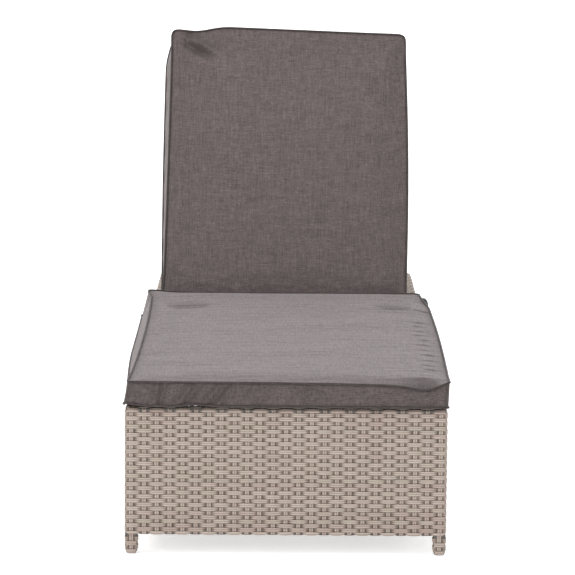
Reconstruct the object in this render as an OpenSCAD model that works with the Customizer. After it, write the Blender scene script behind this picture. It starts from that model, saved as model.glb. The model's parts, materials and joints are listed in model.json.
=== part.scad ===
// Reclining sun lounger: a wicker-covered box base on a square-tube frame, a backrest
// that swings on two hinge bolts, a U-shaped prop that holds it up on two notched
// racks, and two loose cushions.
// Millimetres. The foot end is at -Y, the head end is at +Y and +Z is up. Right is
// +X: the right hand of someone who looks from the foot end towards the head end.
// The origin is on the floor under the middle of the base.

/* [Base] */
// Length of the base from foot end to head end
base_l = 2000; // [1960:10:2060]
// Width of the base over the wicker
base_w = 650; // [640:5:700]
// Height of the base's top edge above the floor
base_h = 300; // [280:5:340]
// Height of the wicker skirt's lower edge above the floor
skirt_z = 40; // [30:5:60]

/* [Frame and wicker] */
// Width of the square frame tubes
tube = 22; // [20:1:24]
// Wall thickness of the frame tubes
tube_wall = 1.5; // [1.2:0.1:2]
// Thickness of the wicker over the frame
weave_t = 3; // [2.5:0.5:3.5]

/* [Backrest] */
// Angle of the raised backrest above the horizontal
back_angle = 62; // [56:1:64]
// Distance from the foot end to the hinge axis
hinge_from_foot = 1300; // [1290:5:1310]
// Distance from the hinge axis to the prop's upper pivots
prop_reach = 315; // [300:5:315]
// Diameter of the prop's round bar
prop_d = 12; // [10:1:12]
// Diameter of the hinge bolts and of the prop bolts
bolt_d = 8; // [6:1:8]

/* [Cushions] */
// Thickness of both cushions at their seams
cushion_t = 51.7; // [40:0.1:55]
// Length of the seat cushion
seat_cushion_l = 1252; // [1200:1:1252]
// Width of the seat cushion
seat_cushion_w = 644; // [600:1:645]
// Length of the back cushion
back_cushion_l = 706; // [640:1:710]
// Width of the back cushion
back_cushion_w = 566; // [540:1:570]

/* [Hidden] */

steel = "#4a4744";
zinc = "#a9abad";
nylon = "#e8e4da";
rubber = "#2b2a29";
wicker = "#b6aa9c";
cushion_grey = "#6f6764";
webbing = "#1b1b1c";

FINE = 64;        // $fn of round parts that fit or turn
SMOOTH = 32;      // $fn of rounded edges and corners
THROUGH = 1;      // how far a cutting solid runs past the face it cuts

// Base frame
wrapped = tube + 2 * weave_t;
tube_x = base_w / 2 - wrapped / 2;
tube_y = base_l / 2 - wrapped / 2;
rail_z = base_h - wrapped / 2;
lower_rail_z = skirt_z + wrapped / 2;
rail_inner_x = base_w / 2 - wrapped;
rail_inner_y = base_l / 2 - wrapped;
edge_r = 10;                         // rounding of the wicker over the top rails
glide_h = 5;                         // height of a glide below its leg tube
glide_plug_h = 18;                   // how far a glide's plug goes up its leg
plug_play = 0.1;                     // gap around a glide's plug
deck_rear_gap = 30;                  // from the rear edge of the seat deck to the hinge axis

// Backrest, worked out lying flat with the hinge axis as its own origin
hinge_y = hinge_from_foot - base_l / 2;
hinge_z = rail_z;
swing_gap = 8.5;                     // clear space between the backrest and each side rail
end_gap = 5;                         // clear space between the flat backrest and the head end
back_half_w = rail_inner_x - swing_gap;
back_skin = 1.5;                     // wicker on the outer sides of the backrest tubes
back_l = rail_inner_y - end_gap - hinge_y;
back_tube_x = back_half_w - back_skin - tube / 2;
eye_l = 14;                          // from the hinge axis to the end of the solid hinge eye
bottom_tube_s = 30;
middle_tube_s = prop_reach - 53;
top_tube_s = back_l - weave_t - tube / 2;
panel_s = 16;                        // where the wicker of the backrest starts

// Hinges
bush_od = 12;
bush_flange_od = 20;
bush_flange_t = 1.5;
running_gap = 0.05;                  // radial clearance of a turning fit
fixed_gap = 0.02;                    // radial clearance of a fit that doesn't turn
side_gap = 0.3;                      // play beside a turning eye
plate_t = 4;
bolt_head_t = 2.5;
bolt_head_d = 15;
nut_t = 7;
nut_af = 13;                         // width of a lock nut across its flats
thread_tail = 2;                     // thread showing past a nut
hinge_crossbar_z = hinge_z - 37;
hinge_plate_x = back_half_w + 2;     // inner face of a hinge bracket

// Prop and racks
prop_x = 230;
prop_eye_d = 18;
prop_eye_w = 12.5;
prop_plate_x = prop_x + prop_eye_w / 2 + side_gap;
prop_travel = 2 * prop_reach;        // from the hinge axis to the bar with the backrest flat
rack_x = 200;
rack_h = 30;
rack_gap = 1.5;                      // clearance between the bar's path and the tooth tips
rack_top_z = hinge_z - prop_d / 2 - rack_gap;
rack_low_z = hinge_z - tube / 2 - 3; // top of a rack where the flat backrest's tubes lie over it
tooth_l = 9;                         // length of the tooth before the first notch and after the last
rest_angles = [back_angle, 50, 37, 22];
notch_gap = 0.5;                     // play of the bar in a notch
notch_depth = 9;

// Cushions
seat_gap = 0.3;                      // air under each cushion
seat_cushion_r = 25;                 // corner radius of the cushions seen from above
back_cushion_s = 12;                 // from the hinge axis to the back cushion's lower end
back_edge_r = 20;                    // rounding of the back cushion's lower front edge
strap_w = 25;
strap_t = 1.5;
strap_off = 0.3;                     // gap between a strap and the wicker
strap_top = 30;                      // height of a strap's sewn end above the rail
strap_drop = 38;                     // how far a strap hangs below the rail's top
strap_rear_gap = 15;                 // from a strap's rear edge to the seat cushion's rear edge

// ---- shared shapes ----

// Square hollow tube along +X, centred, with open ends
module square_tube(length) {
    difference() {
        cube([length, tube, tube], center = true);
        cube([length + 2 * THROUGH, tube - 2 * tube_wall, tube - 2 * tube_wall], center = true);
    }
}

// The same tube along Y
module tube_along_y(length) {
    rotate([0, 0, 90]) square_tube(length);
}

// The same tube along Z
module tube_along_z(length) {
    rotate([0, 90, 0]) square_tube(length);
}

// Round bar along X, between two places on it
module bar_along_x(x0, x1, d) {
    translate([x0, 0, 0]) rotate([0, 90, 0]) cylinder(h = x1 - x0, d = d, $fn = FINE);
}

// Rectangle centred on the origin with round corners
module rounded_rectangle(w, l, r) {
    square([w - 2 * r, l], center = true);
    square([w, l - 2 * r], center = true);
    for (x = [-1, 1], y = [-1, 1])
        translate([x * (w / 2 - r), y * (l / 2 - r)]) circle(r = r, $fn = SMOOTH);
}

// Puts what was drawn flat around the hinge axis onto the raised backrest
module on_backrest() {
    translate([0, hinge_y, hinge_z]) rotate([back_angle, 0, 0]) children();
}

// Draws something on the +X side, or its mirror image for a side of -1
module on_side(side) {
    if (side > 0) children();
    else mirror([1, 0, 0]) children();
}

// ---- base frame ----

module leg(side, end) {
    top = base_h - weave_t;
    color(steel)
    translate([side * tube_x, end * tube_y, glide_h])
    difference() {
        translate([-tube / 2, -tube / 2, 0]) cube([tube, tube, top - glide_h]);
        translate([tube_wall - tube / 2, tube_wall - tube / 2, -THROUGH])
            cube([tube - 2 * tube_wall, tube - 2 * tube_wall, top - glide_h - tube_wall + THROUGH]);
    }
}

module leg_wrap(side, end) {
    h = skirt_z - glide_h;
    corner_r = 4;
    color(wicker)
    translate([side * tube_x, end * tube_y, glide_h])
    linear_extrude(h)
    difference() {
        rounded_rectangle(wrapped, wrapped, corner_r);
        square(tube, center = true);
    }
}

module glide(side, end) {
    foot_w = tube + weave_t;
    foot_r = 5;
    plug_w = tube - 2 * tube_wall - 2 * plug_play;
    color(rubber)
    translate([side * tube_x, end * tube_y, 0]) {
        linear_extrude(glide_h) rounded_rectangle(foot_w, foot_w, foot_r);
        translate([-plug_w / 2, -plug_w / 2, 0]) cube([plug_w, plug_w, glide_h + glide_plug_h]);
    }
}

module side_rail(side, z) {
    color(steel) translate([side * tube_x, 0, z]) tube_along_y(2 * tube_y - tube);
}

module end_rail(end, z) {
    color(steel) translate([0, end * tube_y, z]) square_tube(2 * tube_x - tube);
}

module side_post(side) {
    z0 = lower_rail_z + tube / 2;
    z1 = rail_z - tube / 2;
    color(steel) translate([side * tube_x, hinge_y, (z0 + z1) / 2]) tube_along_z(z1 - z0);
}

module crossbar(y, z) {
    color(steel) translate([0, y, z]) square_tube(2 * tube_x - tube);
}

// ---- wicker of the base ----

// Section of a skirt: a wall on the outside, folded over the top rail and under the
// lower rail. The outer face is on x = 0 and the rails are on its +X side.
module skirt_section() {
    difference() {
        union() {
            translate([0, skirt_z]) square([wrapped, base_h - edge_r - skirt_z]);
            translate([edge_r, skirt_z]) square([wrapped - edge_r, base_h - skirt_z]);
            translate([edge_r, base_h - edge_r]) circle(r = edge_r, $fn = SMOOTH);
        }
        translate([weave_t, skirt_z + weave_t])
            square([wrapped, base_h - skirt_z - 2 * weave_t]);
    }
}

// Each side wall runs the whole length of the base, less the ends' own thickness
module woven_side(side) {
    length = base_l - 2 * weave_t;
    color(wicker)
    difference() {
        on_side(side)
        translate([base_w / 2, length / 2, 0])
        mirror([1, 0, 0]) rotate([90, 0, 0]) linear_extrude(length) skirt_section();
        for (end = [-1, 1]) corner_space(side, end);
    }
}

// What a side wall leaves free at a corner: the room for the end wall's folds, and
// below them the hole that the leg comes down through
module corner_space(side, end) {
    folds = wrapped - weave_t;
    y0 = end * base_l / 2 - (end > 0 ? folds + weave_t : 0);
    x0 = side * (base_w / 2 - weave_t) - (side > 0 ? folds : 0);
    translate([x0, y0, 0]) cube([folds, wrapped, skirt_z + weave_t + THROUGH]);
}

// The foot and head walls close the box between the side walls
module woven_end(end) {
    inner = base_w - 2 * wrapped;
    color(wicker)
    rotate([0, 0, end > 0 ? 180 : 0]) {
        translate([-inner / 2, -base_l / 2, 0])
        rotate([90, 0, 90]) linear_extrude(inner) skirt_section();
        for (side = [-1, 1]) end_corner(side);
    }
}

// The end wall carried on in front of a leg, as far as the side wall's outer face
module end_corner(side) {
    x0 = side > 0 ? base_w / 2 - wrapped : -base_w / 2;
    translate([x0, -base_l / 2, skirt_z]) cube([wrapped, weave_t, base_h - edge_r - skirt_z]);
}

module seat_deck() {
    y0 = -rail_inner_y;
    y1 = hinge_y - deck_rear_gap;
    color(wicker)
    translate([-rail_inner_x, y0, base_h - weave_t]) cube([2 * rail_inner_x, y1 - y0, weave_t]);
}

// ---- hinges ----

// Upright plate on the hinge crossbar, round at the top, with the bolt's hole
module hinge_bracket(side) {
    foot_z = hinge_crossbar_z + tube / 2 - hinge_z;
    top_r = tube / 2 + 2;
    color(steel)
    on_side(side)
    translate([hinge_plate_x, hinge_y, hinge_z])
    difference() {
        union() {
            bar_along_x(0, plate_t, 2 * top_r);
            translate([0, -tube / 2, foot_z]) cube([plate_t, tube, -foot_z]);
        }
        bar_along_x(-THROUGH, plate_t + THROUGH, bolt_d + 2 * fixed_gap);
    }
}

module hinge_bolt(side) {
    head_x = hinge_plate_x + plate_t;
    nut_x = back_tube_x - tube / 2 - side_gap - nut_t;
    color(zinc)
    on_side(side)
    translate([0, hinge_y, hinge_z]) {
        bar_along_x(nut_x - thread_tail, head_x, bolt_d);
        bar_along_x(head_x, head_x + bolt_head_t, bolt_head_d);
    }
}

// Hexagonal nut along +X from x = 0
module lock_nut() {
    difference() {
        rotate([0, 90, 0]) cylinder(h = nut_t, d = nut_af / cos(30), $fn = 6);
        bar_along_x(-THROUGH, nut_t + THROUGH, bolt_d + 2 * fixed_gap);
    }
}

module hinge_lock_nuts() {
    color(zinc)
    for (side = [-1, 1])
        on_side(side)
        translate([back_tube_x - tube / 2 - side_gap - nut_t, hinge_y, hinge_z]) lock_nut();
}

module hinge_bush(side) {
    sleeve_x = back_tube_x - tube / 2;
    flange_x = back_tube_x + tube / 2;
    color(nylon)
    on_backrest() on_side(side)
    difference() {
        union() {
            bar_along_x(sleeve_x, flange_x, bush_od);
            bar_along_x(flange_x, flange_x + bush_flange_t, bush_flange_od);
        }
        bar_along_x(sleeve_x - THROUGH, flange_x + bush_flange_t + THROUGH,
            bolt_d + 2 * running_gap);
    }
}

// ---- backrest ----

// Side tube with its solid hinge eye at the lower end
module back_side_tube(side) {
    eye_x = back_tube_x - tube / 2;
    length = back_l - weave_t - eye_l;
    color(steel)
    on_backrest() on_side(side) {
        translate([back_tube_x, eye_l + length / 2, 0]) tube_along_y(length);
        difference() {
            union() {
                bar_along_x(eye_x, eye_x + tube, tube);
                translate([eye_x, 0, -tube / 2]) cube([tube, eye_l, tube]);
            }
            bar_along_x(eye_x - THROUGH, eye_x + tube + THROUGH, bush_od + 2 * fixed_gap);
        }
    }
}

module back_cross_tube(s) {
    color(steel) on_backrest() translate([0, s, 0]) square_tube(2 * back_tube_x - tube);
}

// Wicker stretched over the backrest and down the outer sides of its tubes
module woven_back() {
    side_skin_x = back_tube_x + tube / 2;
    color(wicker)
    on_backrest() {
        translate([-back_half_w, panel_s, tube / 2])
            cube([2 * back_half_w, back_l - panel_s, weave_t]);
        translate([-back_half_w, back_l - weave_t, -tube / 2])
            cube([2 * back_half_w, weave_t, tube]);
        for (x = [-back_half_w, side_skin_x])
            translate([x, panel_s, -tube / 2]) cube([back_skin, back_l - panel_s, tube]);
    }
}

// ---- prop and racks ----

module prop_bracket(side) {
    plate_s = middle_tube_s + tube / 2;
    color(steel)
    on_backrest() on_side(side)
    translate([prop_plate_x, 0, 0])
    difference() {
        union() {
            translate([0, prop_reach, 0]) bar_along_x(0, plate_t, tube);
            translate([0, plate_s, -tube / 2]) cube([plate_t, prop_reach - plate_s, tube]);
        }
        translate([0, prop_reach, 0])
            bar_along_x(-THROUGH, plate_t + THROUGH, bolt_d + 2 * fixed_gap);
    }
}

module prop_bolts() {
    head_x = prop_plate_x + plate_t;
    nut_x = prop_x - prop_eye_w / 2 - side_gap - nut_t;
    color(zinc)
    on_backrest()
    for (side = [-1, 1])
        on_side(side)
        translate([0, prop_reach, 0]) {
            bar_along_x(nut_x - thread_tail, head_x, bolt_d);
            bar_along_x(head_x, head_x + bolt_head_t, bolt_head_d);
        }
}

module prop_lock_nuts() {
    color(zinc)
    on_backrest()
    for (side = [-1, 1])
        on_side(side)
        translate([prop_x - prop_eye_w / 2 - side_gap - nut_t, prop_reach, 0]) lock_nut();
}

// The prop is as long as its pivot is far from the hinge, so its bar stays at the
// height of the hinge axis at every angle. It is drawn lying flat and turned by twice
// the backrest's angle.
module on_prop() {
    on_backrest()
    translate([0, prop_reach, 0]) rotate([-2 * back_angle, 0, 0]) children();
}

module prop_arm(side) {
    arm_l = prop_reach - prop_d / 2;
    eye_x = prop_x - prop_eye_w / 2;
    color(steel)
    on_prop() on_side(side)
    difference() {
        union() {
            bar_along_x(eye_x, eye_x + prop_eye_w, prop_eye_d);
            translate([prop_x, 0, 0])
                rotate([-90, 0, 0]) cylinder(h = arm_l, d = prop_d, $fn = FINE);
        }
        bar_along_x(eye_x - THROUGH, eye_x + prop_eye_w + THROUGH, bolt_d + 2 * running_gap);
    }
}

module prop_bar() {
    bar_x = prop_x + prop_d / 2;
    color(steel)
    on_prop()
    difference() {
        translate([0, prop_reach, 0]) bar_along_x(-bar_x, bar_x, prop_d);
        for (x = [-prop_x, prop_x])
            translate([x, 0, 0])
            rotate([-90, 0, 0]) cylinder(h = prop_reach - prop_d / 2, d = prop_d, $fn = FINE);
    }
}

// How far behind the hinge axis the bar is with the backrest at an angle
function bar_reach(angle) = prop_travel * cos(angle);

// Flat bar on edge from the hinge crossbar to the rack crossbar. Its middle stands
// higher, with a notch for each angle that the backrest rests at.
module rack(side) {
    y0 = hinge_y + tube / 2;
    y1 = tube_y - tube / 2;
    base_z = rack_top_z - rack_h;
    notch_w = prop_d + 2 * notch_gap;
    teeth_0 = hinge_y + bar_reach(rest_angles[0]) - notch_w / 2 - tooth_l;
    teeth_1 = hinge_y + bar_reach(rest_angles[len(rest_angles) - 1]) + notch_w / 2 + tooth_l;
    color(steel)
    on_side(side)
    translate([rack_x, 0, 0])
    difference() {
        union() {
            translate([0, y0, base_z]) cube([plate_t, y1 - y0, rack_low_z - base_z]);
            translate([0, teeth_0, base_z]) cube([plate_t, teeth_1 - teeth_0, rack_h]);
        }
        for (angle = rest_angles)
            translate([0, hinge_y + bar_reach(angle), rack_top_z]) {
                translate([-THROUGH, -notch_w / 2, notch_w / 2 - notch_depth])
                    cube([plate_t + 2 * THROUGH, notch_w, notch_depth]);
                translate([0, 0, notch_w / 2 - notch_depth])
                    bar_along_x(-THROUGH, plate_t + THROUGH, notch_w);
            }
    }
}

// ---- cushions ----

module seat_cushion() {
    color(cushion_grey)
    translate([0, seat_cushion_l / 2 - base_l / 2, base_h + seat_gap])
    linear_extrude(cushion_t) rounded_rectangle(seat_cushion_w, seat_cushion_l, seat_cushion_r);
}

// The back cushion's lower front edge is round, so that it clears the seat cushion
module back_cushion() {
    n0 = tube / 2 + weave_t + seat_gap;
    color(cushion_grey)
    on_backrest()
    intersection() {
        translate([0, back_cushion_s + back_cushion_l / 2, n0])
            linear_extrude(cushion_t)
            rounded_rectangle(back_cushion_w, back_cushion_l, seat_cushion_r);
        translate([-back_cushion_w / 2, back_cushion_s, n0])
        rotate([90, 0, 90]) linear_extrude(back_cushion_w) {
            square([back_cushion_l, cushion_t - back_edge_r]);
            translate([back_edge_r, 0]) square([back_cushion_l - back_edge_r, cushion_t]);
            translate([back_edge_r, cushion_t - back_edge_r])
                circle(r = back_edge_r, $fn = SMOOTH);
        }
    }
}

// Webbing strap sewn to the seat cushion's side, hanging over the side rail
module cushion_strap(side) {
    y1 = seat_cushion_l - base_l / 2 - strap_rear_gap - seat_cushion_r;
    outer_x = base_w / 2 + strap_off;
    sewn_x = seat_cushion_w / 2;
    color(webbing)
    on_side(side) {
        translate([outer_x, y1 - strap_w, base_h - strap_drop])
            cube([strap_t, strap_w, strap_drop + strap_top]);
        translate([sewn_x, y1 - strap_w, base_h + strap_top - strap_t])
            cube([outer_x - sewn_x, strap_w, strap_t]);
    }
}

leg(-1, -1);  // leg_foot_left
leg(1, -1);  // leg_foot_right
leg(-1, 1);  // leg_head_left
leg(1, 1);  // leg_head_right
leg_wrap(-1, -1);  // leg_wrap_foot_left
leg_wrap(1, -1);  // leg_wrap_foot_right
leg_wrap(-1, 1);  // leg_wrap_head_left
leg_wrap(1, 1);  // leg_wrap_head_right
glide(-1, -1);  // glide_foot_left
glide(1, -1);  // glide_foot_right
glide(-1, 1);  // glide_head_left
glide(1, 1);  // glide_head_right
side_rail(-1, rail_z);  // side_rail_left
side_rail(1, rail_z);  // side_rail_right
end_rail(-1, rail_z);  // foot_rail
end_rail(1, rail_z);  // head_rail
side_rail(-1, lower_rail_z);  // lower_side_rail_left
side_rail(1, lower_rail_z);  // lower_side_rail_right
end_rail(-1, lower_rail_z);  // lower_foot_rail
end_rail(1, lower_rail_z);  // lower_head_rail
side_post(-1);  // side_post_left
side_post(1);  // side_post_right
crossbar(-rail_inner_y * 0.58, rail_z);  // seat_crossbar_foot
crossbar(-rail_inner_y * 0.16, rail_z);  // seat_crossbar_middle
crossbar(hinge_y - deck_rear_gap - tube / 2, rail_z);  // seat_crossbar_rear
crossbar(hinge_y, hinge_crossbar_z);  // hinge_crossbar
crossbar(tube_y, rail_z - tube - weave_t);  // rack_crossbar
woven_side(-1);  // woven_side_left
woven_side(1);  // woven_side_right
woven_end(-1);  // woven_foot_end
woven_end(1);  // woven_head_end
seat_deck();
hinge_bracket(-1);  // hinge_bracket_left
hinge_bracket(1);  // hinge_bracket_right
hinge_bolt(-1);  // hinge_bolt_left
hinge_bolt(1);  // hinge_bolt_right
hinge_lock_nuts();
rack(-1);  // rack_left
rack(1);  // rack_right
seat_cushion();
cushion_strap(-1);  // cushion_strap_left
cushion_strap(1);  // cushion_strap_right
back_side_tube(-1);  // back_side_tube_left
back_side_tube(1);  // back_side_tube_right
back_cross_tube(bottom_tube_s);  // back_bottom_tube
back_cross_tube(middle_tube_s);  // back_middle_tube
back_cross_tube(top_tube_s);  // back_top_tube
hinge_bush(-1);  // hinge_bush_left
hinge_bush(1);  // hinge_bush_right
woven_back();
prop_bracket(-1);  // prop_bracket_left
prop_bracket(1);  // prop_bracket_right
prop_bolts();
prop_lock_nuts();
back_cushion();
prop_arm(-1);  // prop_arm_left
prop_arm(1);  // prop_arm_right
prop_bar();
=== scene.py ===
import json
import math

import bpy
import numpy as np
from mathutils import Matrix, Vector


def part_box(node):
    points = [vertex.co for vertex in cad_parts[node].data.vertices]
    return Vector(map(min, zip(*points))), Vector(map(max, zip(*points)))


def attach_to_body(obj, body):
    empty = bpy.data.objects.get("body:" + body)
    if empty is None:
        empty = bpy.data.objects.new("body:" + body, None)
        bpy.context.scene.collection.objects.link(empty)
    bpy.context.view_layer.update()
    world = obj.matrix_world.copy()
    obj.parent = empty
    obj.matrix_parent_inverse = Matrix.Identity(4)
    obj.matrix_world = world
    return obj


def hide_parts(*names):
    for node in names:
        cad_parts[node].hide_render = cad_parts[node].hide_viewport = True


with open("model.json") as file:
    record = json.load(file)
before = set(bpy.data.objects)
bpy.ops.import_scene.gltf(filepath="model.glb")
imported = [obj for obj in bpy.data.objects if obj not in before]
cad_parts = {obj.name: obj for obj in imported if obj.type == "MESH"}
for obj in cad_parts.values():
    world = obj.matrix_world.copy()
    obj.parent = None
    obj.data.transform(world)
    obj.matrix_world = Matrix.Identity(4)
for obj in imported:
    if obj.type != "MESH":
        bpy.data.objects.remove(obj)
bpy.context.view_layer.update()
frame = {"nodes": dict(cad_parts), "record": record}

# The looks of a reclining sun lounger: real woven strands on the base and the backrest,
# two piped cushions blown up by cloth simulation, and a material for every CAD part.
# Metres throughout. "Local" means lying flat with the hinge axis as the origin.

RANDOM = np.random.default_rng(11)
MM = 0.001


def corners_of(node):
    """Lowest and highest corners of a CAD part."""
    return [np.array(corner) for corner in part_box(node)]


def new_object(name, data):
    made = bpy.data.objects.new(name, data)
    bpy.context.scene.collection.objects.link(made)
    return made


def attach(piece, body, slot, *nodes):
    """Names the body a piece moves with and hides the CAD parts it stands for; slot is not used."""
    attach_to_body(piece, body)
    if nodes:
        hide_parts(*nodes)


# ---------------------------------------------------------------- camera and studio

CAMERA_PLACE = (-0.012, -7.592, 1.496)
CAMERA_PITCH = 8.20   # degrees down
CAMERA_YAW = 0.11     # degrees to the right
CAMERA_ROLL = 0.43
CAMERA_LENS = 208.9   # mm, on a 36 mm sensor


def make_camera():
    camera = new_object("camera", bpy.data.cameras.new("camera"))
    camera.data.lens = CAMERA_LENS
    camera.data.sensor_width = 36
    camera.data.clip_end = 100
    turn = (
        Matrix.Rotation(math.radians(-CAMERA_YAW), 4, "Z")
        @ Matrix.Rotation(math.radians(90 - CAMERA_PITCH), 4, "X")
        @ Matrix.Rotation(math.radians(CAMERA_ROLL), 4, "Z")
    )
    camera.matrix_world = Matrix.Translation(CAMERA_PLACE) @ turn
    bpy.context.scene.camera = camera


def make_area_light(name, place, aim, size, power, colour=(1, 1, 1)):
    light = bpy.data.lights.new(name, "AREA")
    light.shape = "RECTANGLE"
    light.size, light.size_y = size
    light.energy = power
    light.color = colour
    lamp = new_object(name, light)
    lamp.location = place
    lamp.rotation_euler = (Vector(aim) - Vector(place)).to_track_quat("-Z", "Y").to_euler()


def make_studio():
    middle = (0, 0, 0.4)
    make_area_light("key_left", (-4.4, -2.2, 3.6), middle, (1.8, 1.8), 115, (1, 0.985, 0.965))
    make_area_light("top", (-0.3, 0.2, 4.4), (0, 0, 0.3), (3.0, 4.0), 74)
    make_area_light("front_fill", (-1.5, -6.0, 4.6), middle, (2.5, 2.0), 24, (0.985, 0.99, 1))
    world = bpy.data.worlds.new("studio")
    world.use_nodes = True
    world.node_tree.nodes["Background"].inputs["Color"].default_value = (1, 1, 1, 1)
    world.node_tree.nodes["Background"].inputs["Strength"].default_value = 0.42
    bpy.context.scene.world = world
    bpy.context.scene.view_settings.view_transform = "Standard"


FLOOR_R = 16.0          # how far out the floor is flat
FLOOR_BEND = 4.0        # radius of its bend up into the backdrop
BACKDROP_HIGH = 12.0
FLOOR_SIDES = 64


def floor_paint():
    """Off-white, lit from within more and more with distance, and hardly at all under the base."""
    paint = Paint("pale_floor")
    place = paint.coordinates("Object")
    grain = paint.noise(place, 3.0, 3)
    paint.drive("Base Color", paint.ramp(grain, [(0.3, (0.86, 0.86, 0.855)), (0.7, (0.9, 0.9, 0.895))]))
    paint.set("Roughness", 0.85)
    far = paint.length(paint.scaled(place, (1, 0.6, 1)))
    under_base = paint.length(paint.scaled(place, (1.7, 0.55, 1)))
    in_shade = paint.ramp(under_base, [(0.2, (0.02, 0.02, 0.02)), (0.37, (0.6, 0.6, 0.6))])
    glow = paint.math("MULTIPLY", paint.math("SUBTRACT", far, 0.6), 0.35)
    paint.set("Emission Color", (1, 1, 1, 1))
    paint.drive("Emission Strength", paint.math("MINIMUM", paint.math("MAXIMUM", glow, in_shade), 0.7))
    return paint.material


def make_floor():
    """A pale round floor that curves up into a backdrop far out on every side."""
    turn = [math.radians(a) for a in range(0, 91, 6)]
    line = [(FLOOR_R + FLOOR_BEND * math.sin(a), FLOOR_BEND * (1 - math.cos(a))) for a in turn]
    line.append((FLOOR_R + FLOOR_BEND, BACKDROP_HIGH))
    around = [math.tau * i / FLOOR_SIDES for i in range(FLOOR_SIDES)]
    points = [(r * math.cos(a), r * math.sin(a), z) for r, z in line for a in around]
    faces = []
    for ring in range(0, (len(line) - 1) * FLOOR_SIDES, FLOOR_SIDES):
        for i in range(FLOOR_SIDES):
            after = (i + 1) % FLOOR_SIDES
            faces.append([ring + i, ring + FLOOR_SIDES + i, ring + FLOOR_SIDES + after, ring + after])
    faces.append(list(range(FLOOR_SIDES)))
    mesh = bpy.data.meshes.new("floor")
    mesh.from_pydata(points, [], faces)
    mesh.shade_smooth()
    floor = new_object("floor", mesh)
    mesh.materials.append(floor_paint())


# ---------------------------------------------------------------- materials

class Paint:
    """A node material with one Principled shader, and short ways to add to it."""

    def __init__(self, name):
        self.material = bpy.data.materials.new(name)
        self.material.use_nodes = True
        self.tree = self.material.node_tree
        self.shader = self.tree.nodes["Principled BSDF"]

    def node(self, kind, **settings):
        node = self.tree.nodes.new(kind)
        for key, value in settings.items():
            setattr(node, key, value)
        return node

    def link(self, source, target):
        self.tree.links.new(source, target)

    def set(self, name, value):
        self.shader.inputs[name].default_value = value

    def drive(self, name, source):
        self.link(source, self.shader.inputs[name])

    def vary_roughness(self, source, spread, least):
        self.drive("Roughness", self.math("ADD", self.math("MULTIPLY", source, spread), least))

    def coordinates(self, output):
        return self.node("ShaderNodeTexCoord").outputs[output]

    def scaled(self, vector, scale):
        node = self.node("ShaderNodeMapping")
        self.link(vector, node.inputs["Vector"])
        node.inputs["Scale"].default_value = scale
        return node.outputs[0]

    def noise(self, vector, scale, detail=2.0, roughness=0.5):
        node = self.node("ShaderNodeTexNoise")
        self.link(vector, node.inputs["Vector"])
        node.inputs["Scale"].default_value = scale
        node.inputs["Detail"].default_value = detail
        node.inputs["Roughness"].default_value = roughness
        return node.outputs["Fac"]

    def length(self, vector):
        node = self.node("ShaderNodeVectorMath", operation="LENGTH")
        self.link(vector, node.inputs[0])
        return node.outputs["Value"]

    def attribute(self, name):
        return self.node("ShaderNodeAttribute", attribute_name=name).outputs["Fac"]

    def math(self, operation, a, b=0.0):
        node = self.node("ShaderNodeMath", operation=operation)
        for socket, value in zip(node.inputs, (a, b)):
            if isinstance(value, (int, float)):
                socket.default_value = value
            else:
                self.link(value, socket)
        return node.outputs[0]

    def ramp(self, value, stops):
        node = self.node("ShaderNodeValToRGB")
        self.link(value, node.inputs[0])
        elements = node.color_ramp.elements
        while len(elements) < len(stops):
            elements.new(0.5)
        for element, (place, colour) in zip(elements, stops):
            element.position = place
            element.color = (*colour, 1)
        return node.outputs[0]

    def mix(self, kind, factor, a, b):
        node = self.node("ShaderNodeMix", data_type="RGBA", blend_type=kind)
        for socket, value in ((node.inputs[0], factor), (node.inputs[6], a), (node.inputs[7], b)):
            if isinstance(value, (int, float)):
                socket.default_value = value
            elif isinstance(value, tuple):
                socket.default_value = (*value, 1)
            else:
                self.link(value, socket)
        return node.outputs[2]

    def bump(self, height, distance, strength=1.0):
        node = self.node("ShaderNodeBump")
        node.inputs["Distance"].default_value = distance
        node.inputs["Strength"].default_value = strength
        self.link(height, node.inputs["Height"])
        self.drive("Normal", node.outputs[0])


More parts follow.
